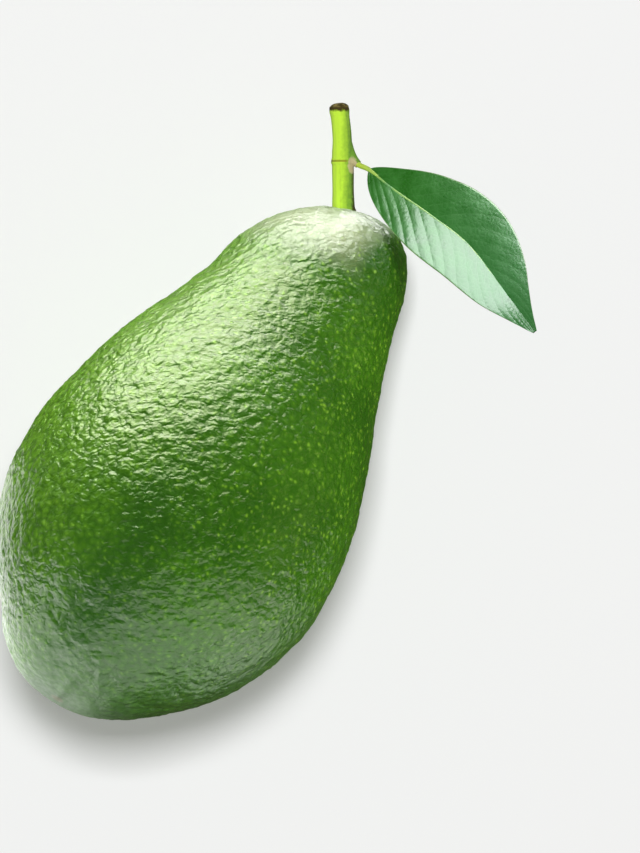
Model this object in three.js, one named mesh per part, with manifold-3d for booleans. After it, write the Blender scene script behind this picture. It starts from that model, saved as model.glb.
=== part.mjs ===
// A whole green-skinned avocado as picked: the pear-shaped fruit, the cut twig that it hung from and
// the one leaf on that twig. It lies on its side on a small flat spot, the way such a fruit comes to rest.
// Units are millimetres and +Z is up. The origin is the middle of the flat spot, and +X runs along the
// fruit from its blossom end to its stem end.

import * as THREE from 'three';
import { mergeVertices } from 'three/addons/utils/BufferGeometryUtils.js';
import Module from 'manifold-3d';

const wasm = await Module();
wasm.setup();

const { degToRad, lerp, smoothstep, seededRandom } = THREE.MathUtils;

// Fruit: its radius at stations along its own axis, from the blossom end to the bottom of the stem dimple.
const fruitStations = [
  [0, 0],
  [0.2, 4.0],
  [1.5, 9.4],
  [5.4, 15.6],
  [11.1, 20.9],
  [21.3, 28.4],
  [33.6, 33.5],
  [46.6, 34.6],
  [58.6, 33.1],
  [71.6, 29.4],
  [85.2, 24.1],
  [98.0, 19.8],
  [107.4, 17.3],
  [113.8, 13.3],
  [117.4, 8.2],
  [118.2, 5.0],
  [117.6, 3.4],
  [117.1, 0],
];
const fruitRings = 62;
const fruitSides = 84;

// The stem end is cut off obliquely: past this station each section leans over, by this slope at the end,
// and the dimple sits to the side of the axis. The blossom end stands a little to the same side.
const obliqueFrom = 78;
const obliqueTo = 120;
const obliqueSlope = 0.3;
const dimpleShift = 0.8;
const blossomShift = 0.9;
const blossomShiftTo = 13;

// Skin relief: rounded pebbles spread over the skin, on broad shallow swellings. It fades out towards the
// twig and towards the flat spot.
const pebbleCount = 640;
const pebbleHeight = 0.55;
const pebbleScatter = 2.4;
const swellPitch = 31;
const swellHeight = 0.25;
const smoothAtTwig = [3.5, 9];
const smoothAtSpot = [6, 16];

// Rest: how far the neck dips below level, and how deep the floor cuts into the skin.
const restTilt = degToRad(14.4);
const spotDepth = 0.45;

// Twig: it leaves the dimple, leaning away from the fruit's axis in plan, level with the floor. In its own
// frame it runs along Y from its foot, and X points to the side that the leaf is on.
const twigTurn = degToRad(-59.5);
const twigFootStation = 115.6;
const twigLength = 25.6;
const twigNode = 13.6;
const twigCentreLine = [
  [0.5, 0, -0.6],
  [0.1, 5, 0],
  [0, twigNode, 0.2],
  [-0.25, twigNode + 6, 0.3],
  [-0.85, twigLength, 0.2],
];

// The twig's radius at stations from its foot: the button in the dimple, the ring at the node, the dried end.
const twigStations = [
  [0, 2.75],
  [2.6, 2.75],
  [4.4, 2.38],
  [8, 2.28],
  [twigNode - 0.7, 2.3],
  [twigNode - 0.3, 2.48],
  [twigNode + 0.3, 2.44],
  [twigNode + 0.8, 2.3],
  [twigNode + 5, 2.04],
  [twigLength - 3, 1.98],
  [twigLength - 1.4, 2.12],
  [twigLength - 0.7, 2.04],
  [twigLength - 0.2, 1.45],
  [twigLength, 0.7],
];
const twigSides = 20;
const twigSteps = 46;

// Leaf stalk: from inside the twig above its node out to the blade. Its swollen base grew with the twig.
const stalkStart = [
  [0.5, twigNode + 3.6, 0.2],
  [1.6, twigNode + 1.2, 0.5],
  [3.1, twigNode - 0.7, 1.6],
];
const stalkBaseShare = 0.36;
const stalkBaseRadii = [1.5, 1.25];
const stalkRadii = [0.98, 0.68];
const stalkSides = 12;

// Leaf blade: its midrib in the twig's frame, its half-width, its fold along the midrib and its side veins.
const leafMidrib = [
  [5.6, 11.6, 3.8],
  [10.2, 7.8, 7.2],
  [18.0, 2.3, 10.2],
  [25.8, -3.9, 11.0],
  [33.6, -14.0, 9.2],
  [39.3, -21.5, 5.4],
];
const leafHalfWidth = 8.3;
const leafTipWidth = 0.35;
const leafFullness = 0.86;
const leafDrawnOut = 0.22;
const leafDrawnFrom = 0.72;
const leafThickness = 0.7;
const leafFold = degToRad(21);
const leafFoldFade = 0.35;
const leafVeins = 9;
const leafVeinSlant = 0.22;
const leafPuckerHeight = 0.2;
const leafSteps = 36;
const leafAcross = 10;
const midribRadii = [0.75, 0.33];
const midribSides = 10;

// The clear gap kept between pieces that are fitted together.
const jointGap = 0.3;

const up = new THREE.Vector3(0, 0, 1);

// A closed mesh as a solid for joining and cutting.
function solidFrom(geometry) {
  const bare = geometry.index ? geometry.toNonIndexed() : geometry.clone();
  bare.deleteAttribute('normal');
  bare.deleteAttribute('uv');
  const merged = mergeVertices(bare, 1e-4);
  const vertProperties = new Float32Array(merged.attributes.position.array);
  const triVerts = new Uint32Array(merged.index.array);
  return new wasm.Manifold(new wasm.Mesh({ numProp: 3, vertProperties, triVerts }));
}

// A solid as a mesh geometry again.
function geometryFrom(solid) {
  const { vertProperties, triVerts } = solid.getMesh();
  const geometry = new THREE.BufferGeometry();
  geometry.setAttribute('position', new THREE.BufferAttribute(vertProperties, 3));
  geometry.setIndex(new THREE.BufferAttribute(triVerts, 1));
  geometry.computeVertexNormals();
  return geometry;
}

// Moves every vertex of a geometry to where move puts it.
function reshape(geometry, move) {
  const position = geometry.attributes.position;
  const point = new THREE.Vector3();
  for (let i = 0; i < position.count; i++) {
    point.fromBufferAttribute(position, i);
    move(point, i);
    position.setXYZ(i, point.x, point.y, point.z);
  }
  return geometry;
}

// A smooth curve through a list of points.
function curveThrough(points) {
  return new THREE.CatmullRomCurve3(points.map((point) => new THREE.Vector3(...point)));
}

// A smooth outline through stations, with its radius as X and its station as Y.
function outlineThrough(stations, extra = 0) {
  return new THREE.SplineCurve(stations.map(([station, radius]) => new THREE.Vector2(radius + extra, station)));
}

// The fruit's smooth outline as evenly spaced points that close on the axis.
function fruitOutline() {
  const points = outlineThrough(fruitStations).getSpacedPoints(fruitRings);
  points[0].x = 0;
  points[points.length - 1].x = 0;
  return points;
}

// A rounded all-over pattern of hills and hollows, about one pitch apart, from -1 to 1.
function hills(point, pitch) {
  const { x, y, z } = point.clone().multiplyScalar((2 * Math.PI) / pitch);
  return (Math.sin(x) * Math.cos(y) + Math.sin(y) * Math.cos(z) + Math.sin(z) * Math.cos(x)) / 1.5;
}

// The pebbles' middles about the fruit's outline: a golden-angle spiral with as much skin to each, and each
// then moved a little at random, which also makes some stand lower than others.
function pebbleMiddles(outline) {
  const areas = outline.slice(1).map((point, i) => point.distanceTo(outline[i]) * (point.x + outline[i].x));
  const skinArea = areas.reduce((sum, area) => sum + area, 0);
  const goldenAngle = Math.PI * (3 - Math.sqrt(5));
  const middles = [];
  let ring = 0;
  let areaBefore = 0;
  seededRandom(1);
  for (let i = 0; i < pebbleCount; i++) {
    const share = ((i + 0.5) / pebbleCount) * skinArea;
    while (areaBefore + areas[ring] < share) {
      areaBefore += areas[ring];
      ring += 1;
    }
    const at = outline[ring].clone().lerp(outline[ring + 1], (share - areaBefore) / areas[ring]);
    const angle = i * goldenAngle;
    const scatter = new THREE.Vector3(seededRandom(), seededRandom(), seededRandom()).subScalar(0.5);
    const middle = new THREE.Vector3(at.y, at.x * Math.cos(angle), at.x * Math.sin(angle));
    middles.push(middle.addScaledVector(scatter, pebbleScatter));
  }
  return middles;
}

// The height of the pebbled skin at a point: 1 on the middle of a pebble and 0 in the groove between two.
function pebbleAt(point, middles) {
  let nearest = Infinity;
  let second = Infinity;
  for (const middle of middles) {
    const distance = point.distanceToSquared(middle);
    if (distance < nearest) {
      second = nearest;
      nearest = distance;
    } else if (distance < second) {
      second = distance;
    }
  }
  return 1 - Math.sqrt(nearest / second);
}

// Turns the fruit's own frame, with its axis on X, to how it lies, with the flat spot's middle at the origin.
function layDown(outline) {
  const turn = new THREE.Matrix4().makeRotationY(restTilt);
  const under = outline.map(({ x, y }) => new THREE.Vector3(y, 0, -x).applyMatrix4(turn));
  const lowest = under.reduce((best, point) => (point.z < best.z ? point : best));
  const lift = new THREE.Matrix4().makeTranslation(-lowest.x, 0, -lowest.z - spotDepth);
  return lift.multiply(turn);
}

// The fruit's skin in its own frame, with its relief.
function fruitSkin(outline, lying) {
  const lathe = new THREE.LatheGeometry(outline, fruitSides).rotateZ(-Math.PI / 2);
  lathe.deleteAttribute('normal');
  lathe.deleteAttribute('uv');
  const skin = mergeVertices(lathe, 1e-3);
  const middles = pebbleMiddles(outline);
  const pebbles = [];
  reshape(skin, (point, i) => {
    pebbles[i] = pebbleAt(point, middles);
    const stemShare = smoothstep(point.x, obliqueFrom, obliqueTo);
    const blossomShare = 1 - smoothstep(point.x, 0, blossomShiftTo);
    point.x -= point.y * obliqueSlope * stemShare;
    point.y += dimpleShift * stemShare + blossomShift * blossomShare;
  });
  skin.computeVertexNormals();
  const twigFoot = new THREE.Vector3(twigFootStation, dimpleShift, 0);
  const spot = new THREE.Vector3().applyMatrix4(lying.clone().invert());
  const normal = new THREE.Vector3();
  return reshape(skin, (point, i) => {
    normal.fromBufferAttribute(skin.attributes.normal, i);
    const twigFade = smoothstep(point.distanceTo(twigFoot), ...smoothAtTwig);
    const spotFade = smoothstep(point.distanceTo(spot), ...smoothAtSpot);
    const relief = pebbles[i] * pebbleHeight + hills(point, swellPitch) * swellHeight;
    point.addScaledVector(normal, relief * twigFade * spotFade);
  });
}

// A round bar of changing radius bent along a curve: profile holds points of radius and share of the length.
function bentBar(profile, curve, sides) {
  const closed = [new THREE.Vector2(0, 0), ...profile, new THREE.Vector2(0, 1)];
  return reshape(new THREE.LatheGeometry(closed, sides), (point) => {
    const { x, y, z } = point;
    const along = curve.getTangentAt(y);
    const across = new THREE.Vector3().crossVectors(along, up).normalize();
    const over = new THREE.Vector3().crossVectors(across, along);
    point.copy(curve.getPointAt(y)).addScaledVector(across, x).addScaledVector(over, z);
  });
}

// The twig, or with extra the space that it needs round it.
function twigBar(extra) {
  const edge = outlineThrough(twigStations, extra).getPoints(twigSteps);
  const profile = edge.map(({ x, y }) => new THREE.Vector2(x, y / twigLength));
  return solidFrom(bentBar(profile, curveThrough(twigCentreLine), twigSides));
}

// A thin bar along a curve that narrows evenly from its first radius to its second.
function taperedBar(curve, [startRadius, endRadius], sides, extra = 0) {
  const shares = [0, 0.2, 0.4, 0.6, 0.8, 1];
  const profile = shares.map((share) => new THREE.Vector2(lerp(startRadius, endRadius, share) + extra, share));
  return solidFrom(bentBar(profile, curve, sides));
}

// The blade's half-width at a share of its length: narrow at the stalk, widest before the middle, drawn to a point.
function bladeHalfWidth(share) {
  const body = Math.max(Math.sin(Math.PI * share ** leafFullness), 0) ** leafFullness;
  return leafTipWidth + leafHalfWidth * body * (1 - leafDrawnOut * smoothstep(share, leafDrawnFrom, 0.97));
}

// The blade as a thin box bent to its outline, folded up along its midrib and puckered between its side veins.
function blade(midrib) {
  const box = new THREE.BoxGeometry(1, 2, 1, leafSteps, leafAcross, 1);
  return solidFrom(reshape(box, (point) => {
    const share = point.x + 0.5;
    const side = point.y;
    const out = Math.abs(side) * bladeHalfWidth(share);
    const fold = leafFold * (1 - leafFoldFade * Math.abs(side));
    const vein = (share - leafVeinSlant * Math.abs(side)) * leafVeins * 2 * Math.PI;
    const pucker = leafPuckerHeight * Math.cos(vein) * Math.sin(Math.PI * Math.abs(side));
    const lift = point.z * leafThickness;
    const along = midrib.getTangentAt(share);
    const across = new THREE.Vector3().crossVectors(up, along).normalize();
    const over = new THREE.Vector3().crossVectors(along, across);
    point.copy(midrib.getPointAt(share));
    point.addScaledVector(across, Math.sign(side) * out * Math.cos(fold));
    point.addScaledVector(over, out * Math.sin(fold) + pucker + lift);
  }));
}

function namedMesh(name, solid, colour, roughness) {
  const material = new THREE.MeshStandardMaterial({ color: colour, roughness, metalness: 0 });
  const mesh = new THREE.Mesh(geometryFrom(solid), material);
  mesh.name = name;
  return mesh;
}

const outline = fruitOutline();
const lying = layDown(outline);
const toFruit = lying.clone().invert();

// The twig's frame stands at its foot: level with the floor and turned in plan.
const sprigFrame = new THREE.Matrix4().makeRotationZ(twigTurn);
sprigFrame.setPosition(new THREE.Vector3(twigFootStation, dimpleShift, 0).applyMatrix4(lying));

// Fruit: the skin less the floor under it and less the socket that the twig's foot stands in.
const floorSize = 200;
const floorBlock = new THREE.BoxGeometry(floorSize, floorSize, floorSize).translate(0, 0, -floorSize / 2);
const socket = geometryFrom(twigBar(jointGap)).applyMatrix4(sprigFrame);
const fruitSolid = solidFrom(fruitSkin(outline, lying))
  .subtract(solidFrom(floorBlock.applyMatrix4(toFruit)))
  .subtract(solidFrom(socket.applyMatrix4(toFruit)));

// Twig: the bar with the swollen base of the leaf stalk grown out of it.
const stalk = curveThrough([...stalkStart, ...leafMidrib.slice(0, 2)]);
const stalkBase = new THREE.CatmullRomCurve3(
  [0, 1, 2, 3].map((step) => stalk.getPointAt((step / 3) * stalkBaseShare)));
const stemSolid = twigBar(0).add(taperedBar(stalkBase, stalkBaseRadii, stalkSides));

// Leaf: the blade with its stalk and midrib, held off the twig by the joint gap.
const midrib = curveThrough(leafMidrib);
const stemSpace = twigBar(jointGap).add(taperedBar(stalkBase, stalkBaseRadii, stalkSides, jointGap));
const leafSolid = blade(midrib)
  .add(taperedBar(stalk, stalkRadii, stalkSides))
  .add(taperedBar(midrib, midribRadii, midribSides))
  .subtract(stemSpace);

const fruitGroup = new THREE.Group();
fruitGroup.add(namedMesh('fruit', fruitSolid, 0x3c7a1e, 0.32));
fruitGroup.applyMatrix4(lying);

const sprigGroup = new THREE.Group();
sprigGroup.add(namedMesh('stem', stemSolid, 0x9ccb3a, 0.5));
sprigGroup.add(namedMesh('leaf', leafSolid, 0x2f7d32, 0.35));
sprigGroup.applyMatrix4(sprigFrame);

const avocado = new THREE.Group();
avocado.add(fruitGroup, sprigGroup);

export default avocado;
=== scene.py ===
import math

import bpy
from mathutils import Matrix, Vector, noise


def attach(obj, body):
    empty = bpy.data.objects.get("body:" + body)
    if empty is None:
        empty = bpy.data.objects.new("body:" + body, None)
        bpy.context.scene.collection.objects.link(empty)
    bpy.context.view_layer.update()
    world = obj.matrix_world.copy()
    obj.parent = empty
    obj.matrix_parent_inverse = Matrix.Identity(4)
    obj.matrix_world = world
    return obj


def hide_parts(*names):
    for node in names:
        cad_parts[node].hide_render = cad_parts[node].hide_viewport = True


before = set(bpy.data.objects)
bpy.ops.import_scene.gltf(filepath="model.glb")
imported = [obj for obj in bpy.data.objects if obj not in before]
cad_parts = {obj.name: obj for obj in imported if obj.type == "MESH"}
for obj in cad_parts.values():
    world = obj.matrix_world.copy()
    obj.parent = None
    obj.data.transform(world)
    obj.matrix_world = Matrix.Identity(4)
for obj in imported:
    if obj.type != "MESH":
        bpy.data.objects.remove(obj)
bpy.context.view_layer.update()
mm = 0.001
print("frame loaded")


# General helpers

def pick(piece):
    bpy.ops.object.select_all(action="DESELECT")
    piece.select_set(True)
    bpy.context.view_layer.objects.active = piece


def applyModifier(piece, kind, **settings):
    pick(piece)
    modifier = piece.modifiers.new(kind.title(), kind)
    for key, value in settings.items():
        setattr(modifier, key, value)
    bpy.ops.object.modifier_apply(modifier=modifier.name)


def weldSelected(distance):
    bpy.ops.mesh.select_all(action="SELECT")
    bpy.ops.mesh.remove_doubles(threshold=distance * mm)
    bpy.ops.mesh.normals_make_consistent(inside=False)


def placeMesh(piece, matrix):
    piece.data.transform(matrix)
    piece.data.update()


def smoothShare(value, low, high):
    share = min(max((value - low) / (high - low), 0), 1)
    return share * share * (3 - 2 * share)


def lineAt(points, share):
    # A point on the smooth line through a few points of any dimension, at a share of its knots
    last = len(points) - 1
    index = min(int(share * last), last - 1)
    t = share * last - index
    here, after = Vector(points[index]), Vector(points[index + 1])
    before = Vector(points[index - 1]) if index > 0 else here * 2 - after
    beyond = Vector(points[index + 2]) if index < last - 1 else after * 2 - here
    leave, arrive = (after - before) / 2, (beyond - here) / 2
    flow = here * 2 - after * 2 + leave + arrive
    bend = after * 3 - here * 3 - leave * 2 - arrive
    return ((flow * t + bend) * t + leave) * t + here


def evenLine(points, count, fineSteps=400):
    # Evenly spaced points on the smooth line
    fine = [lineAt(points, i / fineSteps) for i in range(fineSteps + 1)]
    lengths = [0]
    for a, b in zip(fine, fine[1:]):
        lengths.append(lengths[-1] + (b - a).length)
    even = []
    at = 0
    for i in range(count + 1):
        wanted = lengths[-1] * i / count
        while at < fineSteps - 1 and lengths[at + 1] < wanted:
            at += 1
        share = (wanted - lengths[at]) / (lengths[at + 1] - lengths[at])
        even.append(fine[at].lerp(fine[at + 1], share))
    return even


def radiusAt(stations, station):
    # The radius between stations, eased so that it stays smooth
    for (a, radiusA), (b, radiusB) in zip(stations, stations[1:]):
        if station <= b:
            return radiusA + (radiusB - radiusA) * smoothShare(station, a, b)
    return stations[-1][1]


def taper(first, last, count):
    return [first + (last - first) * i / count for i in range(count)]


def setFloats(piece, name, values):
    attribute = piece.data.attributes.new(name, "FLOAT", "POINT")
    attribute.data.foreach_set("value", values)


def newMaterial(name):
    material = bpy.data.materials.new(name)
    material.use_nodes = True
    tree = material.node_tree
    return material, tree, tree.nodes["Principled BSDF"]


def addNode(tree, kind, inputs=None, **settings):
    node = tree.nodes.new("ShaderNode" + kind)
    for key, value in settings.items():
        setattr(node, key, value)
    for key, value in (inputs or {}).items():
        if isinstance(value, bpy.types.NodeSocket):
            tree.links.new(value, node.inputs[key])
        else:
            node.inputs[key].default_value = value
    return node


def withAlpha(colour):
    return (*colour, 1) if isinstance(colour, tuple) else colour


def mixColours(tree, factor, first, second):
    colours = {0: factor, 6: withAlpha(first), 7: withAlpha(second)}
    return addNode(tree, "Mix", colours, data_type="RGBA").outputs[2]


def attributeOf(tree, name):
    return addNode(tree, "Attribute", attribute_name=name).outputs["Fac"]


def noiseOf(tree, place, scale, detail, output="Fac"):
    return addNode(tree, "TexNoise", {"Vector": place, "Scale": scale, "Detail": detail}).outputs[output]


def rangeOf(tree, value, fromLow, fromHigh, toLow=0.0, toHigh=1.0):
    settings = {"Value": value, "From Min": fromLow, "From Max": fromHigh, "To Min": toLow, "To Max": toHigh}
    return addNode(tree, "MapRange", settings).outputs["Result"]


def mathOf(tree, operation, first, second=0.0):
    return addNode(tree, "Math", {0: first, 1: second}, operation=operation).outputs[0]


def timesOf(tree, first, second):
    return mathOf(tree, "MULTIPLY", first, second)


def sumOf(tree, first, second):
    return mathOf(tree, "ADD", first, second)


def lessOf(tree, first, second):
    return mathOf(tree, "SUBTRACT", first, second)


def bumpOf(tree, height, distance, strength, below=None):
    inputs = {"Height": height, "Distance": distance, "Strength": strength}
    if below:
        inputs["Normal"] = below
    return addNode(tree, "Bump", inputs).outputs["Normal"]


def finish(piece, material, slotName, *nodes):
    piece.data.materials.clear()
    piece.data.materials.append(material)
    pick(piece)
    bpy.ops.object.shade_smooth()
    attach(piece, "root")
    if nodes:
        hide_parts(*nodes)


# Fruit: an outline spun round its axis, laid down, remeshed and pebbled. Lengths are in millimetres.

fruit = {
    "stations": (
        (0, 0), (0.2, 4.0), (1.5, 9.4), (5.4, 15.6), (11.1, 20.9), (21.3, 28.4), (33.6, 33.5), (46.6, 34.6),
        (58.6, 33.1), (71.6, 29.4), (85.2, 24.1), (98.0, 19.8), (107.4, 17.3), (113.8, 13.3), (117.4, 8.2),
        (118.2, 5.0), (117.4, 3.4), (116.8, 0)),
    "outlineSteps": 8,
    "spinSteps": 128,
    "weld": 0.002,
    "oblique": (78, 120, 0.3),
    "dimpleShift": 0.8,
    "blossomShift": (2.1, 17),
    "fuller": (0.32, 70, 100),
    "fullerWays": (0.8, 1, 0.3),
    "restTilt": math.radians(14.4),
    "spotDepth": 0.45,
    "spotTolerance": 0.001,
    "voxel": 0.58,
    "smoothing": 8,
    "smoothAtTwig": (3.0, 8.0),
    "smoothAtSpot": (5.0, 12.0),
    "smoothAtTip": (5.0, 15.0),
    "leastRelief": 0.15,
    "swell": (17.0, 0.72),
    "wrinkle": (3.0, 0.55),
    "pebble": (1.75, 0.34),
}


def spinOutline(name, stations, outlineSteps, spinSteps):
    bpy.ops.object.select_all(action="DESELECT")
    bpy.ops.curve.primitive_bezier_curve_add()
    outline = bpy.context.object
    outline.name = name
    spline = outline.data.splines[0]
    spline.bezier_points.add(len(stations) - len(spline.bezier_points))
    for point, (station, radius) in zip(spline.bezier_points, stations):
        point.co = (station * mm, 0, radius * mm)
        point.handle_left_type = "AUTO"
        point.handle_right_type = "AUTO"
    outline.data.resolution_u = outlineSteps
    bpy.ops.object.convert(target="MESH")
    bpy.ops.object.mode_set(mode="EDIT")
    bpy.ops.mesh.select_all(action="SELECT")
    bpy.ops.mesh.spin(steps=spinSteps, angle=math.tau, center=(0, 0, 0), axis=(1, 0, 0))
    weldSelected(fruit["weld"])
    bpy.ops.object.mode_set(mode="OBJECT")
    return bpy.context.object


def layDownMatrix(piece):
    # Tilts the neck down and sets the lowest point a little under the floor
    tilt = Matrix.Rotation(fruit["restTilt"], 4, "Y")
    lowest = min((tilt @ vertex.co for vertex in piece.data.vertices), key=lambda place: place.z)
    return Matrix.Translation((-lowest.x, 0, -lowest.z - fruit["spotDepth"] * mm)) @ tilt


def twigFootOn(lying):
    return lying @ Vector((twig["footStation"] * mm, fruit["dimpleShift"] * mm, 0))


def displaceSkin(piece, name, kind, size, height, **looks):
    texture = bpy.data.textures.new(name, kind)
    texture.noise_scale = size * mm
    for key, value in looks.items():
        setattr(texture, key, value)
    applyModifier(
        piece, "DISPLACE", texture=texture, strength=height * mm, mid_level=0.5,
        texture_coords="LOCAL", vertex_group="relief")


def distancesFrom(piece, place):
    return [(vertex.co - place).length / mm for vertex in piece.data.vertices]


def makeFruit():
    piece = spinOutline("avocadoFruit", fruit["stations"], fruit["outlineSteps"], fruit["spinSteps"])
    obliqueFrom, obliqueTo, slope = fruit["oblique"]
    blossomShift, blossomTo = fruit["blossomShift"]
    fuller, fullerFrom, fullerTo = fruit["fuller"]
    for vertex in piece.data.vertices:
        station = vertex.co.x / mm
        growth = fuller * mm * (1 - smoothShare(station, fullerFrom, fullerTo))
        vertex.co += vertex.normal * Vector(fruit["fullerWays"]) * growth
        stemShare = smoothShare(station, obliqueFrom, obliqueTo)
        blossomShare = 1 - smoothShare(station, 0, blossomTo)
        vertex.co.x -= vertex.co.y * slope * stemShare
        vertex.co.y += (fruit["dimpleShift"] * stemShare + blossomShift * blossomShare) * mm
    lying = layDownMatrix(piece)
    placeMesh(piece, lying)
    applyModifier(piece, "REMESH", mode="VOXEL", voxel_size=fruit["voxel"] * mm)
    applyModifier(piece, "SMOOTH", factor=0.5, iterations=fruit["smoothing"])

    # The relief fades out round the twig, the flat spot and the blossom tip
    twigFoot = twigFootOn(lying)
    blossomTip = lying @ Vector((0, blossomShift * mm, 0))
    least = fruit["leastRelief"]
    relief = piece.vertex_groups.new(name="relief")
    for vertex in piece.data.vertices:
        twigFade = smoothShare((vertex.co - twigFoot).length / mm, *fruit["smoothAtTwig"])
        spotFade = smoothShare(vertex.co.length / mm, *fruit["smoothAtSpot"])
        tipFade = smoothShare((vertex.co - blossomTip).length / mm, *fruit["smoothAtTip"])
        relief.add([vertex.index], least + (1 - least) * twigFade * spotFade * tipFade, "REPLACE")
    displaceSkin(piece, "swell", "CLOUDS", *fruit["swell"], noise_depth=1)
    displaceSkin(piece, "wrinkle", "CLOUDS", *fruit["wrinkle"], noise_depth=2, noise_basis="BLENDER_ORIGINAL")
    displaceSkin(
        piece, "pebble", "VORONOI", *fruit["pebble"], weight_1=-1.0, weight_2=1.0, noise_intensity=1.0)
    bpy.ops.object.mode_set(mode="EDIT")
    bpy.ops.mesh.select_all(action="SELECT")
    bpy.ops.mesh.bisect(
        plane_co=(0, 0, 0), plane_no=(0, 0, 1), use_fill=True, clear_inner=True,
        threshold=fruit["spotTolerance"] * mm)
    bpy.ops.object.mode_set(mode="OBJECT")
    upright = lying.inverted()
    setFloats(piece, "station", [(upright @ vertex.co).x / mm for vertex in piece.data.vertices])
    setFloats(piece, "fromTwig", distancesFrom(piece, twigFoot))
    setFloats(piece, "fromTip", distancesFrom(piece, blossomTip))
    return piece, lying


# Ranges are (from, to) or (from, to, first result, last result). Stations and distances from the twig and
# the tip are in millimetres, and places and bump distances in metres. Noises are (scale, detail).
skin = {
    "deep": (0.010, 0.058, 0.001),
    "middle": (0.025, 0.102, 0.002),
    "paintedLitGreen": (0.100, 0.250, 0.007),
    "dot": (0.14, 0.30, 0.02),
    "paintedHighlightColour": (0.43, 0.50, 0.34),
    "scar": (0.060, 0.070, 0.020),
    "patchNoise": (45.0, 3.0),
    "grainNoise": (1100.0, 3.0),
    "wobbleNoise": (350.0, 2.0),
    "wobble": 0.0016,
    "pebbleScale": 760.0,
    "stretch": 1.5,
    "wrinkleNoise": (520.0, 2.0),
    "bumpNoise": (960.0, 1.0),
    "wrinkleShare": 1.8,
    "gapShare": 0.5,
    "pebbleBump": (0.00041, 0.85),
    "grainBump": (0.00010, 0.3),
    "calmAtBlossom": (2.0, 42.0, 0.35, 1.0),
    "calmAtSide": (0.002, 0.018),
    "calmAtTip": (3.0, 14.0, 0.25, 1.0),
    "calmAtTwig": (7.0, 19.0, 0.25, 1.0),
    "dotEdge": (0.36, 0.10),
    "dotChance": (0.1, 0.95, 0.15, 0.7),
    "patchRange": (0.35, 0.65),
    "paintedLitSide": (0.006, 0.036, 0.0, 0.75),
    "gapShade": (0.15, 0.5, 0.0, 0.6),
    "paintedHighlightBlotch": 12.0,
    "paintedHighlightFromTwig": (23.5, 14.5, 0.0, 0.72),
    "paintedHighlightRagged": 0.0010,
    "paintedHighlightSide": (-0.0095, -0.0005),
    "paintedHighlightHeight": (0.020, 0.029, 0.2, 1.0),
    "scarFromTip": (1.6, 1.0, 0.0, 0.9),
    "whiteStation": (45.0, 15.0),
    "whiteFromTwig": (28.0, 12.0),
    "glossTint": (1.0, 0.98, 0.64),
    "whiteTint": (1.0, 1.0, 0.95),
    "grainRange": (0.3, 0.7),
    "roughness": (0.28, 0.42),
    "satinFromTip": (20.0, 7.0, 0.0, 0.22),
    "refraction": 1.5,
}


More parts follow.
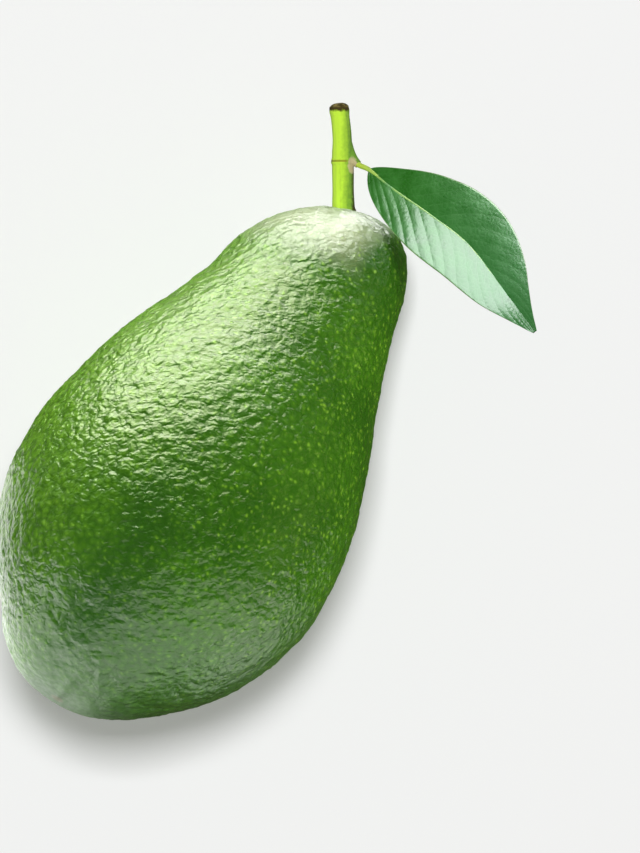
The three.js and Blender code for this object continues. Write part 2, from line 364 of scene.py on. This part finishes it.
def skinMaterial():
    material, tree, shader = newMaterial("avocadoSkin")
    place = addNode(tree, "TexCoord").outputs["Object"]
    parts = addNode(tree, "SeparateXYZ", {"Vector": place})
    side = parts.outputs["Y"]
    height = parts.outputs["Z"]
    station = attributeOf(tree, "station")
    fromTwig = attributeOf(tree, "fromTwig")
    fromTip = attributeOf(tree, "fromTip")
    patches = noiseOf(tree, place, *skin["patchNoise"])
    grain = noiseOf(tree, place, *skin["grainNoise"])

    # Pebbles: wrinkles and bumps drawn out along the picture, with gaps between round cells
    wobble = noiseOf(tree, place, *skin["wobbleNoise"], "Color")
    shift = addNode(tree, "VectorMath", {0: wobble, 1: (0.5, 0.5, 0.5)}, operation="SUBTRACT").outputs[0]
    shift = addNode(tree, "VectorMath", {0: shift, "Scale": skin["wobble"]}, operation="SCALE").outputs[0]
    bent = addNode(tree, "VectorMath", {0: place, 1: shift}, operation="ADD").outputs[0]
    pebbles = addNode(tree, "TexVoronoi", {"Vector": bent, "Scale": skin["pebbleScale"]})
    stretch = {"Vector": bent, "Rotation": (0, 0, twig["turn"]), "Scale": (skin["stretch"], 1, 1)}
    drawn = addNode(tree, "Mapping", stretch, vector_type="TEXTURE").outputs[0]
    wrinkle = noiseOf(tree, drawn, *skin["wrinkleNoise"])
    bumps = noiseOf(tree, drawn, *skin["bumpNoise"])
    gap = mathOf(tree, "POWER", pebbles.outputs["Distance"], 2.0)
    relief = sumOf(tree, timesOf(tree, wrinkle, skin["wrinkleShare"]), bumps)
    relief = lessOf(tree, relief, timesOf(tree, gap, skin["gapShare"]))

    # They are calmer low on the fruit, at its tip and round the twig
    calm = rangeOf(tree, station, *skin["calmAtBlossom"])
    calm = mathOf(tree, "MAXIMUM", calm, rangeOf(tree, side, *skin["calmAtSide"]))
    calm = timesOf(tree, calm, rangeOf(tree, fromTip, *skin["calmAtTip"]))
    calm = timesOf(tree, calm, rangeOf(tree, fromTwig, *skin["calmAtTwig"]))
    relief = timesOf(tree, relief, calm)

    # Greens, with a pale dot on most cells
    chance = addNode(tree, "SeparateColor", {"Color": pebbles.outputs["Color"]}).outputs["Red"]
    dots = timesOf(tree, rangeOf(tree, pebbles.outputs["Distance"], *skin["dotEdge"]), calm)
    dots = timesOf(tree, dots, rangeOf(tree, chance, *skin["dotChance"]))
    base = mixColours(tree, rangeOf(tree, patches, *skin["patchRange"]), skin["deep"], skin["middle"])
    # One flank is painted a lighter lime: painted light on the lit side
    base = mixColours(tree, rangeOf(tree, side, *skin["paintedLitSide"]), base, skin["paintedLitGreen"])
    # The gaps between cells are painted a deeper green as painted shade
    base = mixColours(tree, rangeOf(tree, gap, *skin["gapShade"]), base, skin["deep"])
    base = mixColours(tree, dots, base, skin["dot"])

    # A pale patch painted on top of the neck as a painted highlight, and the small scar at the blossom tip
    blotch = timesOf(tree, lessOf(tree, patches, 0.5), skin["paintedHighlightBlotch"])
    paintedHighlight = rangeOf(tree, sumOf(tree, fromTwig, blotch), *skin["paintedHighlightFromTwig"])
    ragged = sumOf(tree, side, timesOf(tree, blotch, skin["paintedHighlightRagged"]))
    paintedHighlight = timesOf(tree, paintedHighlight, rangeOf(tree, ragged, *skin["paintedHighlightSide"]))
    paintedHighlight = timesOf(tree, paintedHighlight, rangeOf(tree, height, *skin["paintedHighlightHeight"]))
    base = mixColours(tree, paintedHighlight, base, skin["paintedHighlightColour"])
    base = mixColours(tree, rangeOf(tree, fromTip, *skin["scarFromTip"]), base, skin["scar"])
    tree.links.new(base, shader.inputs["Base Color"])

    # The gloss is whiter near both ends and more satin at the tip
    nearBlossom = rangeOf(tree, station, *skin["whiteStation"])
    nearEnds = mathOf(tree, "MAXIMUM", nearBlossom, rangeOf(tree, fromTwig, *skin["whiteFromTwig"]))
    tint = mixColours(tree, nearEnds, skin["glossTint"], skin["whiteTint"])
    tree.links.new(tint, shader.inputs["Specular Tint"])
    roughness = rangeOf(tree, grain, *skin["grainRange"], *skin["roughness"])
    roughness = sumOf(tree, roughness, rangeOf(tree, fromTip, *skin["satinFromTip"]))
    tree.links.new(roughness, shader.inputs["Roughness"])
    pebbleBump = bumpOf(tree, relief, *skin["pebbleBump"])
    tree.links.new(bumpOf(tree, grain, *skin["grainBump"], pebbleBump), shader.inputs["Normal"])
    shader.inputs["IOR"].default_value = skin["refraction"]
    return material


# Twig: a bar of changing radius, with the swollen base of the leaf stalk blended into it. Its own frame has
# its foot at the origin and runs along Y, and its lengths are in millimetres.

twig = {
    "turn": math.radians(-59.5),
    "footStation": 115.6,
    "length": 25.6,
    "steps": 120,
    "sides": 24,
    "node": 13.6,
    "centreLine": ((0.5, 0, -0.6), (0.1, 5, 0), (0, 13.6, 0.2), (-0.25, 19.6, 0.3), (-0.9, 25.45, 0.2)),
    "stations": (
        (0, 2.75), (2.6, 2.75), (4.4, 2.38), (8, 2.28), (12.9, 2.3), (13.3, 2.5), (13.9, 2.46), (14.4, 2.3),
        (18.6, 2.04), (22.6, 1.98), (24.0, 2.12), (24.9, 2.04), (25.4, 1.5), (25.6, 0.9)),
    "weld": 0.005,
    "voxel": 0.13,
    "smoothing": 3,
    "ridge": 0.05,
    "ridgeNoise": (3, 0.22),
    "slimmer": 0.06,
}

stalk = {
    "start": ((0.5, 17.2, 0.2), (1.6, 14.8, 0.5), (3.1, 12.9, 1.6)),
    "steps": 50,
    "sides": 16,
    "baseShare": 0.36,
    "buriedShare": 0.5,
    "stepsBeforeBlade": 14,
    "baseRadii": (1.45, 0.85),
    "radii": (0.66, 0.42),
}


def tube(name, line, radii, sides):
    bpy.ops.object.select_all(action="DESELECT")
    bpy.ops.curve.primitive_bezier_curve_add()
    bar = bpy.context.object
    bar.name = name
    curve = bar.data
    curve.splines.clear()
    spline = curve.splines.new("POLY")
    spline.points.add(len(line) - 1)
    for point, place, radius in zip(spline.points, line, radii):
        point.co = (*(place * mm), 1)
        point.radius = radius * mm
    curve.bevel_depth = 1
    curve.bevel_resolution = sides // 4 - 1
    curve.use_fill_caps = True
    bpy.ops.object.convert(target="MESH")
    bpy.ops.object.mode_set(mode="EDIT")
    weldSelected(twig["weld"])
    bpy.ops.object.mode_set(mode="OBJECT")
    return bpy.context.object


def joinPieces(pieces):
    bpy.ops.object.select_all(action="DESELECT")
    for piece in pieces:
        piece.select_set(True)
    bpy.context.view_layer.objects.active = pieces[0]
    bpy.ops.object.join()
    return pieces[0]


def stalkLine():
    return evenLine((*stalk["start"], *leaf["midrib"][:2]), stalk["steps"])


def makeTwig(sprigFrame):
    steps = twig["steps"]
    line = evenLine(twig["centreLine"], steps)
    radii = [
        radiusAt(twig["stations"], twig["length"] * i / steps) - twig["slimmer"] for i in range(steps + 1)]
    bar = tube("avocadoTwig", line, radii, twig["sides"])
    whole = stalkLine()
    base = whole[:int(len(whole) * stalk["baseShare"])]
    thick, thin = stalk["baseRadii"]
    baseRadii = [thick + (thin - thick) * i / (len(base) - 1) for i in range(len(base))]
    piece = joinPieces([bar, tube("stalkBase", base, baseRadii, stalk["sides"])])
    applyModifier(piece, "REMESH", mode="VOXEL", voxel_size=twig["voxel"] * mm)
    applyModifier(piece, "SMOOTH", factor=0.5, iterations=twig["smoothing"])
    around, lengthwise = twig["ridgeNoise"]
    for vertex in piece.data.vertices:
        along = vertex.co.y / mm
        angle = math.atan2(vertex.co.z, vertex.co.x)
        outward = Vector((math.cos(angle), 0, math.sin(angle)))
        place = Vector((math.cos(angle) * around, math.sin(angle) * around, along * lengthwise))
        ridges = noise.noise(place)
        vertex.co += outward * ridges * twig["ridge"] * mm
    setFloats(piece, "along", [vertex.co.y / mm for vertex in piece.data.vertices])
    setFloats(piece, "aside", [vertex.co.x / mm for vertex in piece.data.vertices])
    placeMesh(piece, sprigFrame)
    return piece


# Places along and aside are in millimetres in the twig's own frame
bark = {
    "lime": (0.52, 0.80, 0.055),
    "green": (0.15, 0.32, 0.035),
    "ring": (0.22, 0.19, 0.02),
    "dark": (0.055, 0.040, 0.012),
    "cut": (0.28, 0.22, 0.07),
    "cork": (0.56, 0.46, 0.28),
    "fibreSize": (0.0009, 0.012, 0.0009),
    "fibreNoise": (1.0, 3.0),
    "speckNoise": (1400.0, 4.0),
    "uneven": 1.4,
    "streakShare": 2.0,
    "shadeAside": (0.4, 2.6),
    "edgeAside": (1.7, 2.3),
    "edgeBelowNode": 1.2,
    "ringFromNode": (0.30, 0.12),
    "ringAside": (1.3, 0.7),
    "ringStrength": 0.8,
    "corkPlace": (2.0, 12.7),
    "corkSize": (1.0, 1.7),
    "corkEdge": (1.2, 0.6, 0.0, 0.85),
    "rimAlong": (23.7, 24.1),
    "cutAlong": (24.5, 25.0),
    "cutMottle": (0.45, 0.55),
    "fibreBump": (0.00015, 0.4),
    "speckBump": (0.0001, 0.3),
    "roughness": 0.42,
}


def barkMaterial():
    material, tree, shader = newMaterial("avocadoTwigBark")
    place = addNode(tree, "TexCoord").outputs["Object"]
    along = attributeOf(tree, "along")
    aside = attributeOf(tree, "aside")
    fibres = {"Vector": place, "Rotation": (0, 0, twig["turn"]), "Scale": bark["fibreSize"]}
    fibre = addNode(tree, "Mapping", fibres, vector_type="TEXTURE").outputs[0]
    streak = noiseOf(tree, fibre, *bark["fibreNoise"])
    speck = noiseOf(tree, place, *bark["speckNoise"])
    uneven = timesOf(tree, lessOf(tree, speck, 0.5), bark["uneven"])
    wavyAside = sumOf(tree, aside, uneven)

    # Lime on the lit side, green and dark on the other
    streaky = sumOf(tree, wavyAside, timesOf(tree, streak, bark["streakShare"]))
    base = mixColours(tree, rangeOf(tree, streaky, *bark["shadeAside"]), bark["lime"], bark["green"])
    below = rangeOf(tree, along, twig["node"], twig["node"] - bark["edgeBelowNode"])
    edge = timesOf(tree, rangeOf(tree, wavyAside, *bark["edgeAside"]), below)
    base = mixColours(tree, edge, base, bark["dark"])

    # The thin ring at the node
    fromNode = mathOf(tree, "ABSOLUTE", lessOf(tree, along, twig["node"]))
    ring = timesOf(
        tree, rangeOf(tree, fromNode, *bark["ringFromNode"]), rangeOf(tree, wavyAside, *bark["ringAside"]))
    base = mixColours(tree, timesOf(tree, ring, bark["ringStrength"]), base, bark["ring"])

    # The corky spot below the stalk
    corkAside, corkAlong = bark["corkPlace"]
    corkWidth, corkLength = bark["corkSize"]
    acrossCork = mathOf(tree, "DIVIDE", lessOf(tree, aside, corkAside), corkWidth)
    alongCork = mathOf(tree, "DIVIDE", lessOf(tree, along, corkAlong), corkLength)
    fromCork = sumOf(
        tree, mathOf(tree, "POWER", acrossCork, 2.0), mathOf(tree, "POWER", alongCork, 2.0))
    cork = rangeOf(tree, sumOf(tree, fromCork, uneven), *bark["corkEdge"])
    base = mixColours(tree, cork, base, bark["cork"])

    # The dried end, dark round its rim and mottled on the cut
    rim = rangeOf(tree, sumOf(tree, along, uneven), *bark["rimAlong"])
    base = mixColours(tree, rim, base, bark["dark"])
    cut = timesOf(
        tree, rangeOf(tree, along, *bark["cutAlong"]), rangeOf(tree, speck, *bark["cutMottle"]))
    base = mixColours(tree, cut, base, bark["cut"])
    tree.links.new(base, shader.inputs["Base Color"])
    shader.inputs["Roughness"].default_value = bark["roughness"]
    shader.inputs["Specular Tint"].default_value = withAlpha(skin["glossTint"])
    fibreBump = bumpOf(tree, streak, *bark["fibreBump"])
    tree.links.new(bumpOf(tree, speck, *bark["speckBump"], fibreBump), shader.inputs["Normal"])
    return material


# Leaf: a grid bent along its midrib, folded up on both sides, puckered between its veins and thickened. It
# is in the twig's frame, in millimetres.

leaf = {
    "midrib": (
        (5.6, 11.6, 3.8), (10.2, 7.8, 7.2), (18.0, 2.3, 10.2), (25.8, -3.9, 11.0), (33.6, -14.0, 9.2),
        (39.2, -21.3, 5.4)),
    "halfWidth": 8.3,
    "tipWidth": 0.42,
    "fullness": 0.86,
    "drawnOut": (0.22, 0.72, 0.97),
    "thickness": 0.42,
    "fold": math.radians(21),
    "foldFade": 0.35,
    "upperWing": (0.36, 0.55, 1.2),
    "veins": 13,
    "veinSlant": 0.22,
    "pucker": (0.015, 0.045),
    "puckerLevel": 0.6,
    "puckerRound": 0.8,
    "wave": (0.12, 13, 2),
    "stepsAlong": 170,
    "stepsAcross": 60,
    "ribRadii": (0.38, 0.16),
    "ribSteps": 80,
    "ribStart": 4,
}


def leafHalfWidth(share, side):
    body = max(math.sin(math.pi * share ** leaf["fullness"]), 0) ** leaf["fullness"]
    if side > 0:
        # The upper wing is widest nearer the tip
        more, level, late = leaf["upperWing"]
        body *= 1 + more * (math.sin(math.pi * share ** late) - level)
    drawnOut, drawnFrom, drawnTo = leaf["drawnOut"]
    narrowing = 1 - drawnOut * smoothShare(share, drawnFrom, drawnTo)
    return leaf["tipWidth"] + leaf["halfWidth"] * body * narrowing


def makeLeafBlade(sprigFrame):
    bpy.ops.object.select_all(action="DESELECT")
    bpy.ops.mesh.primitive_grid_add(
        x_subdivisions=leaf["stepsAlong"], y_subdivisions=leaf["stepsAcross"], size=2, calc_uvs=True)
    piece = bpy.context.object
    piece.name = "avocadoLeaf"
    steps = leaf["stepsAlong"]
    line = evenLine(leaf["midrib"], steps)
    up = Vector((0, 0, 1))
    upperPucker, lowerPucker = leaf["pucker"]
    waveHeight, waveTurns, waveShift = leaf["wave"]
    for vertex in piece.data.vertices:
        share = (vertex.co.x + 1) / 2
        side = vertex.co.y
        index = min(max(round(share * steps), 0), steps)
        before, after = line[max(index - 1, 0)], line[min(index + 1, steps)]
        along = (after - before).normalized()
        across = up.cross(along).normalized()
        over = along.cross(across)
        out = abs(side) * leafHalfWidth(share, side)
        fold = leaf["fold"] * (1 - leaf["foldFade"] * abs(side))
        phase = (share - leaf["veinSlant"] * abs(side)) * leaf["veins"] * math.tau
        depth = upperPucker if side > 0 else lowerPucker
        dome = math.sin(math.pi * min(abs(side), 1) ** leaf["puckerRound"])
        pucker = depth * (abs(math.cos(phase / 2)) - leaf["puckerLevel"]) * dome
        ripple = waveHeight * math.sin(share * waveTurns + waveShift * math.copysign(1, side)) * side * side
        lift = out * math.sin(fold) + pucker + ripple * math.sin(math.pi * share)
        vertex.co = (line[index] + across * math.copysign(out * math.cos(fold), side) + over * lift) * mm
    applyModifier(piece, "SOLIDIFY", thickness=leaf["thickness"] * mm, offset=0)
    placeMesh(piece, sprigFrame)
    return piece


def makeLeafRib(sprigFrame):
    # The stalk starts inside its swollen base and runs on as the midrib
    whole = stalkLine()
    start = int(len(whole) * stalk["baseShare"] * stalk["buriedShare"])
    stalkPart = whole[start:-stalk["stepsBeforeBlade"]]
    ribPart = evenLine(leaf["midrib"], leaf["ribSteps"])[leaf["ribStart"]:]
    line = stalkPart + ribPart
    radii = taper(*stalk["radii"], len(stalkPart)) + taper(*leaf["ribRadii"], len(ribPart))
    piece = tube("avocadoLeafStalk", line, radii, stalk["sides"])
    setFloats(piece, "length", distancesFrom(piece, line[0] * mm))
    placeMesh(piece, sprigFrame)
    return piece


# Shares run along and across the blade from 0 to 1, and "length" is millimetres from the stalk's start
blade = {
    "dark": (0.014, 0.120, 0.006),
    "light": (0.026, 0.160, 0.016),
    "far": (0.036, 0.172, 0.042),
    "vein": (0.12, 0.32, 0.11),
    "edge": (0.20, 0.36, 0.14),
    "rib": (0.30, 0.50, 0.10),
    "stalk": (0.46, 0.62, 0.06),
    "mottleNoise": (260.0, 4.0),
    "mottleRange": (0.35, 0.65),
    "netScale": 950.0,
    "netLine": (0.09, 0.0, 0.0, 0.12),
    "veinLine": (0.10, 0.0, 0.0, 0.22),
    "farAlong": (0.2, 0.75, 0.0, 0.8),
    "edgeAcross": (0.97, 0.995),
    "veinWings": (0.49, 0.51, 1.0, 0.3),
    "veinBump": (0.0003, 0.25),
    "netBump": (0.0002, 0.3),
    "glossRange": (0.3, 0.7),
    "roughness": (0.26, 0.36),
    "ribNoise": (500.0, 3.0),
    "ribRange": (0.3, 0.7),
    "ribBump": (0.0001, 0.3),
    "ribRoughness": 0.42,
    "stalkLength": (10.0, 4.0),
}


def bladeMaterial():
    material, tree, shader = newMaterial("avocadoLeafBlade")
    coords = addNode(tree, "TexCoord")
    place = coords.outputs["Object"]
    parts = addNode(tree, "SeparateXYZ", {"Vector": coords.outputs["UV"]})
    share = parts.outputs["X"]
    side = timesOf(tree, mathOf(tree, "ABSOLUTE", lessOf(tree, parts.outputs["Y"], 0.5)), 2.0)
    slanted = lessOf(tree, share, timesOf(tree, side, leaf["veinSlant"]))
    phase = timesOf(tree, slanted, leaf["veins"] * math.pi)
    vein = mathOf(tree, "ABSOLUTE", mathOf(tree, "COSINE", phase))
    mottle = noiseOf(tree, place, *blade["mottleNoise"])
    cells = {"Vector": place, "Scale": blade["netScale"]}
    net = addNode(tree, "TexVoronoi", cells, feature="DISTANCE_TO_EDGE").outputs["Distance"]
    base = mixColours(tree, rangeOf(tree, mottle, *blade["mottleRange"]), blade["dark"], blade["light"])
    base = mixColours(tree, rangeOf(tree, share, *blade["farAlong"]), base, blade["far"])
    base = mixColours(tree, rangeOf(tree, net, *blade["netLine"]), base, blade["vein"])
    base = mixColours(tree, rangeOf(tree, vein, *blade["veinLine"]), base, blade["vein"])
    base = mixColours(tree, rangeOf(tree, side, *blade["edgeAcross"]), base, blade["edge"])
    tree.links.new(base, shader.inputs["Base Color"])
    roughness = rangeOf(tree, mottle, *blade["glossRange"], *blade["roughness"])
    tree.links.new(roughness, shader.inputs["Roughness"])
    veinHeight = timesOf(tree, vein, rangeOf(tree, parts.outputs["Y"], *blade["veinWings"]))
    veinBump = bumpOf(tree, veinHeight, *blade["veinBump"])
    tree.links.new(bumpOf(tree, net, *blade["netBump"], veinBump), shader.inputs["Normal"])
    return material


def ribMaterial():
    material, tree, shader = newMaterial("avocadoLeafStalk")
    place = addNode(tree, "TexCoord").outputs["Object"]
    speck = noiseOf(tree, place, *blade["ribNoise"])
    base = mixColours(tree, rangeOf(tree, speck, *blade["ribRange"]), blade["rib"], blade["vein"])
    onStalk = rangeOf(tree, attributeOf(tree, "length"), *blade["stalkLength"])
    base = mixColours(tree, onStalk, base, blade["stalk"])
    tree.links.new(base, shader.inputs["Base Color"])
    tree.links.new(bumpOf(tree, speck, *blade["ribBump"]), shader.inputs["Normal"])
    shader.inputs["Roughness"].default_value = blade["ribRoughness"]
    return material


# Floor, light and camera. The middle and both heights are in millimetres, the rest in metres.

studio = {
    "floorSize": 8,
    "floorColour": (0.575, 0.575, 0.590),
    "floorRoughness": 0.9,
    "floorGlow": 0.27,
    "belowHorizon": (0.07, 0.08, 0.03),
    "sky": (0.135, 0.14, 0.10),
    "horizon": (-0.1, 0.1),
    "roll": math.radians(-59.5),
    "middle": (24.99, 11.23),
    "subjectHeight": 30.0,
    "viewHeight": 173.8,
    "distance": 3.0,
    "sensor": 36,
    "clipEnd": 20,
}

# Places are picture right, picture up and height, in metres. A light that names its pieces is a card that
# shows on them only as gloss, unless its gloss is off. The others show only as light, never as gloss.
lights = {
    "topSoftbox": {
        "place": (0.0, 0.50, 2.83), "aim": (0, 0, 0), "size": (0.60, 0.60), "power": 79.5,
        "blockers": ("fruit",)},
    "leftFill": {
        "place": (-0.50, 0.40, 0.14), "aim": (0, 0, 0.04), "size": (0.40, 0.24), "power": 2.3,
        "colour": (1.0, 1.0, 0.8), "pieces": ("fruit",), "gloss": False},
    "rightFill": {
        "place": (0.60, -0.06, 0.05), "aim": (0, 0, 0.04), "size": (0.40, 0.30), "power": 8.5,
        "colour": (1.0, 0.85, 0.55), "pieces": ("fruit",), "gloss": False},
    "windowCard": {
        "place": (-0.030, 0.115, 0.0525), "aim": (-0.030, 0, 0.0525),
        "size": (0.136, 0.105), "power": 0.60, "pieces": ("fruit",)},
    "highCard": {
        "place": (-0.005, 0.115, 0.140), "aim": (-0.005, 0, 0.140),
        "size": (0.130, 0.070), "power": 0.143, "pieces": ("fruit",)},
    "limeCard": {
        "place": (-0.035, 0.115, -0.060), "aim": (-0.035, 0, -0.060),
        "size": (0.130, 0.120), "power": 0.032, "colour": (1.0, 1.0, 0.45), "pieces": ("fruit",)},
    "neckCard": {
        "place": (0.060, 0.115, -0.022), "aim": (0.060, 0, -0.022),
        "size": (0.060, 0.086), "power": 0.14, "pieces": ("fruit",)},
    "neckHighCard": {
        "place": (0.065, 0.115, 0.055), "aim": (0.065, 0, 0.055),
        "size": (0.060, 0.068), "power": 0.062, "pieces": ("fruit",)},
    "lowCard": {
        "place": (0.02, -0.30, 0.215), "aim": (0.02, 0, 0.215),
        "size": (0.66, 0.37), "power": 1.9, "pieces": ("fruit",)},
    "lowRightCard": {
        "place": (0.102, -0.140, 0.000), "aim": (0.010, -0.030, 0.035),
        "size": (0.120, 0.100), "power": 0.090, "pieces": ("fruit",)},
    "rimCard": {
        "place": (-0.062, -0.0925, 0.0075), "aim": (0, -0.0925, 0.0075),
        "size": (0.135, 0.135), "power": 0.225, "pieces": ("fruit",)},
    "rimTopCard": {
        "place": (-0.062, -0.0065, -0.014), "aim": (0, -0.0065, -0.014),
        "size": (0.037, 0.092), "power": 0.028, "pieces": ("fruit",)},
    "leafCard": {
        "place": (0.155, 0.110, 0.180), "aim": (0.055, 0.040, 0.025),
        "size": (0.34, 0.34), "power": 4.9, "colour": (1.0, 0.94, 1.06), "pieces": ("blade", "rib")},
}


def makeFloor():
    bpy.ops.object.select_all(action="DESELECT")
    bpy.ops.mesh.primitive_plane_add(size=studio["floorSize"])
    floor = bpy.context.object
    floor.name = "studioFloor"
    material, tree, shader = newMaterial("studioFloor")
    shader.inputs["Base Color"].default_value = withAlpha(studio["floorColour"])
    shader.inputs["Roughness"].default_value = studio["floorRoughness"]
    shader.inputs["Specular IOR Level"].default_value = 0.0
    shader.inputs["Emission Color"].default_value = (1, 1, 1, 1)
    shader.inputs["Emission Strength"].default_value = studio["floorGlow"]
    floor.data.materials.append(material)
    floor.visible_glossy = False


def makeWorld():
    world = bpy.data.worlds.new("studio")
    bpy.context.scene.world = world
    world.use_nodes = True
    tree = world.node_tree
    direction = addNode(tree, "TexCoord").outputs["Generated"]
    height = addNode(tree, "SeparateXYZ", {"Vector": direction}).outputs["Z"]
    above = rangeOf(tree, height, *studio["horizon"])
    colour = mixColours(tree, above, studio["belowHorizon"], studio["sky"])
    tree.links.new(colour, tree.nodes["Background"].inputs["Color"])


def makeCamera(pictureFrame):
    x, y = studio["middle"]
    place = pictureFrame @ Vector((x * mm, y * mm, studio["subjectHeight"] * mm + studio["distance"]))
    bpy.ops.object.camera_add(location=place, rotation=(0, 0, studio["roll"]))
    camera = bpy.context.object
    camera.data.sensor_fit = "VERTICAL"
    camera.data.sensor_height = studio["sensor"]
    camera.data.lens = studio["sensor"] * studio["distance"] / (studio["viewHeight"] * mm)
    camera.data.clip_end = studio["clipEnd"]
    bpy.context.scene.camera = camera


def groupOf(name, wanted, pieces):
    group = bpy.data.collections.new(name)
    for key in wanted:
        group.objects.link(pieces[key])
    return group


def makeLights(pictureFrame, pieces):
    for name, values in lights.items():
        bpy.ops.object.light_add(type="AREA", location=pictureFrame @ Vector(values["place"]))
        light = bpy.context.object
        light.name = name
        light.data.shape = "RECTANGLE"
        light.data.size, light.data.size_y = values["size"]
        light.data.energy = values["power"]
        light.data.color = values.get("colour", (1, 1, 1))
        aim = pictureFrame @ Vector(values["aim"])
        light.rotation_euler = (aim - light.location).to_track_quat("-Z", "Y").to_euler()
        if values.get("gloss", "pieces" in values):
            light.visible_diffuse = False
        else:
            light.visible_glossy = False
        if "pieces" in values:
            light.light_linking.receiver_collection = groupOf(name + "Receivers", values["pieces"], pieces)
        if "blockers" in values:
            light.light_linking.blocker_collection = groupOf(name + "Blockers", values["blockers"], pieces)


fruitPiece, lying = makeFruit()
finish(fruitPiece, skinMaterial(), "skin", "fruit")
print("fruit made", len(fruitPiece.data.polygons), "faces")

sprigFrame = Matrix.Translation(twigFootOn(lying)) @ Matrix.Rotation(twig["turn"], 4, "Z")
twigPiece = makeTwig(sprigFrame)
finish(twigPiece, barkMaterial(), "twig", "stem")
print("twig made", len(twigPiece.data.polygons), "faces")

bladePiece = makeLeafBlade(sprigFrame)
finish(bladePiece, bladeMaterial(), "leaf_blade", "leaf")
ribPiece = makeLeafRib(sprigFrame)
finish(ribPiece, ribMaterial(), "leaf_blade")
print("leaf made", len(bladePiece.data.polygons), "faces")

pictureFrame = Matrix.Rotation(studio["roll"], 4, "Z")
makeFloor()
makeWorld()
makeLights(pictureFrame, {"fruit": fruitPiece, "blade": bladePiece, "rib": ribPiece})
makeCamera(pictureFrame)
bpy.context.scene.view_settings.view_transform = "Standard"
print("studio made")
